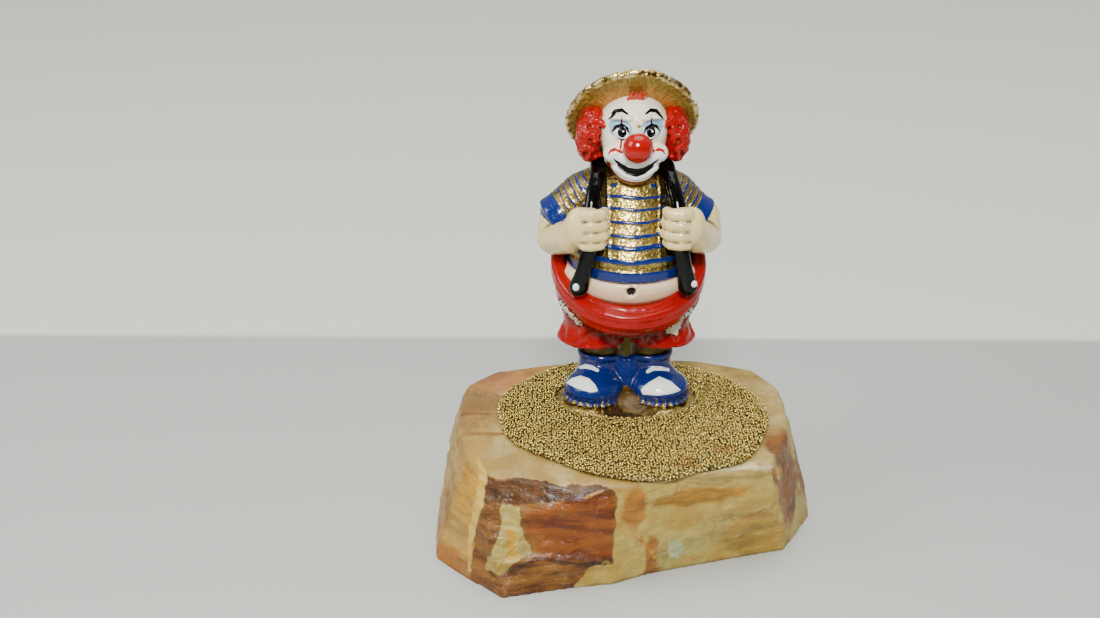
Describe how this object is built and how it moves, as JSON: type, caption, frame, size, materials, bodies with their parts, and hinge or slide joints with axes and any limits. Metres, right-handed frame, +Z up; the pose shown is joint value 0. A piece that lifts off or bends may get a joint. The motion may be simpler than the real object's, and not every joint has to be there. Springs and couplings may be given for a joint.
{
  "type": "clown figurine",
  "caption": "Painted and gilt metal clown in straw hat and braces, standing in a bed of small gilt beads on a rough slab of onyx.",
  "frame": {"origin": "middle of the flat underside of the onyx slab", "axes": "+Z up along the figure, +X to the figure's left, -Y the way the clown faces"},
  "size_m": [0.147, 0.122, 0.1732],
  "materials": {
    "painted_metal": "gloss enamel in red, blue, black and cream over gold plate",
    "gilt_beads": "bright gilt beads set in clear glue",
    "onyx": "cleft and lightly polished, slightly translucent"
  },
  "bodies": {
    "root": {"onyx_slab": "onyx", "bead_bed": "gilt_beads", "clown_figure": "painted_metal"}
  },
  "joints": []
}
